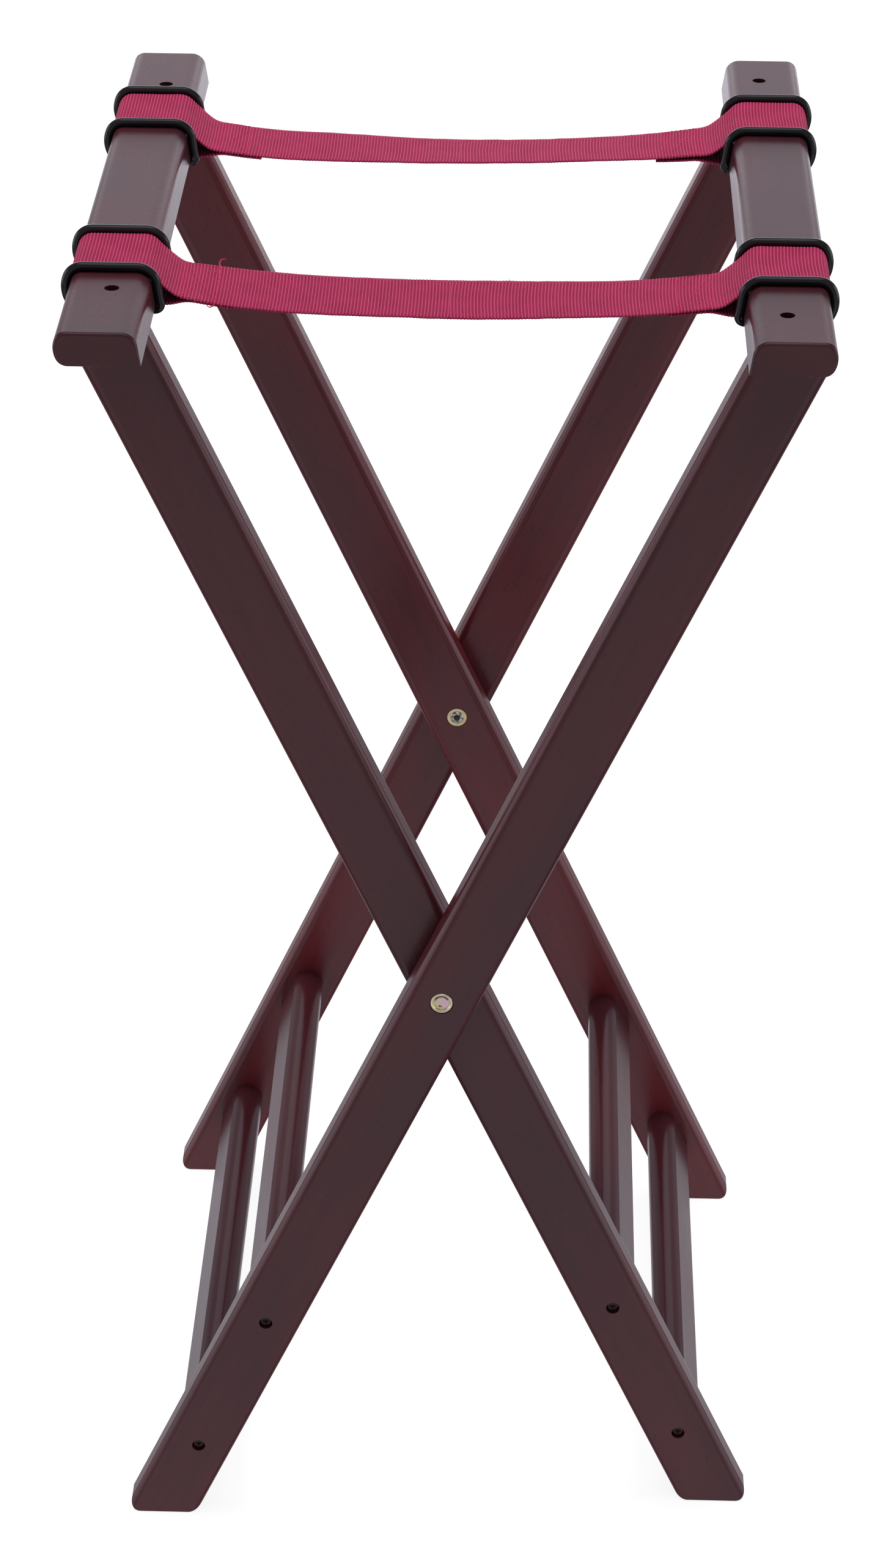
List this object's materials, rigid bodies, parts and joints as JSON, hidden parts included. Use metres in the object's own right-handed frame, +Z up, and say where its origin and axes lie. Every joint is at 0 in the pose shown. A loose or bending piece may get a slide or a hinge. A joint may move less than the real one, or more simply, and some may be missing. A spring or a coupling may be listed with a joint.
{
  "type": "folding luggage rack",
  "caption": "Tall folding luggage rack: crossed wooden frames hinged on rivets, joined at the top by webbing straps held between rubber rings.",
  "frame": {"origin": "on the floor, below the hinge line, halfway between the front and rear legs and between the open feet", "axes": "+Z up, +X from the inner frame's rail to the outer frame's rail, Y along the rails and the hinge line with +Y to the rear"},
  "size_m": [0.4142, 0.4496, 0.792],
  "materials": {
    "lacquered_wood": "dark mahogany lacquer, glossy",
    "strap_webbing": "ribbed polypropylene webbing, raspberry red",
    "ring_rubber": "smooth black rubber, satin",
    "rivet_zinc": "yellow zinc plated steel",
    "screw_steel": "dark steel, lacquered over",
    "spacer_nylon": "natural nylon"
  },
  "bodies": {
    "outer_frame": {"outer_leg_front": "lacquered_wood", "outer_leg_rear": "lacquered_wood", "outer_top_rail": "lacquered_wood", "outer_stretcher_lower": "lacquered_wood", "outer_stretcher_upper": "lacquered_wood", "outer_rail_screws": "screw_steel", "outer_stretcher_screws": "screw_steel", "pivot_rivet_front": "rivet_zinc", "pivot_washer_front": "rivet_zinc", "pivot_spacer_front": "spacer_nylon", "pivot_rivet_rear": "rivet_zinc", "pivot_washer_rear": "rivet_zinc", "pivot_spacer_rear": "spacer_nylon", "ring_outer_1": "ring_rubber", "ring_outer_2": "ring_rubber", "ring_outer_3": "ring_rubber", "ring_outer_4": "ring_rubber", "strap_near_loop_outer": "strap_webbing", "strap_far_loop_outer": "strap_webbing"},
    "inner_frame": {"inner_leg_front": "lacquered_wood", "inner_leg_rear": "lacquered_wood", "inner_top_rail": "lacquered_wood", "inner_stretcher_lower": "lacquered_wood", "inner_stretcher_upper": "lacquered_wood", "inner_rail_screws": "screw_steel", "inner_stretcher_screws": "screw_steel", "ring_inner_1": "ring_rubber", "ring_inner_2": "ring_rubber", "ring_inner_3": "ring_rubber", "ring_inner_4": "ring_rubber", "strap_near_loop_inner": "strap_webbing", "strap_far_loop_inner": "strap_webbing"},
    "strap_spans_outer": {"strap_near_span_outer": "strap_webbing", "strap_far_span_outer": "strap_webbing"},
    "strap_spans_inner": {"strap_near_span_inner": "strap_webbing", "strap_far_span_inner": "strap_webbing"}
  },
  "joints": [
    {"name": "fold", "type": "hinge", "parent": "outer_frame", "child": "inner_frame", "pos_m": [0, 0, 0.3692], "axis": [0, 1, 0], "range_deg": [0, 39.5], "deforming": ["strap_near_span_outer", "strap_far_span_outer", "strap_near_span_inner", "strap_far_span_inner"]},
    {"name": "strap_drop_outer", "type": "hinge", "parent": "outer_frame", "child": "strap_spans_outer", "pos_m": [0.151, 0, 0.773], "axis": [0, -1, 0], "range_deg": [0, 66.5]},
    {"name": "strap_drop_inner", "type": "hinge", "parent": "inner_frame", "child": "strap_spans_inner", "pos_m": [-0.151, 0, 0.773], "axis": [0, 1, 0], "range_deg": [0, 66.5]}
  ],
  "couplings": [
    {"joint": "strap_drop_outer", "follows": "fold", "ratio": 1.683},
    {"joint": "strap_drop_inner", "follows": "fold", "ratio": 1.683}
  ]
}
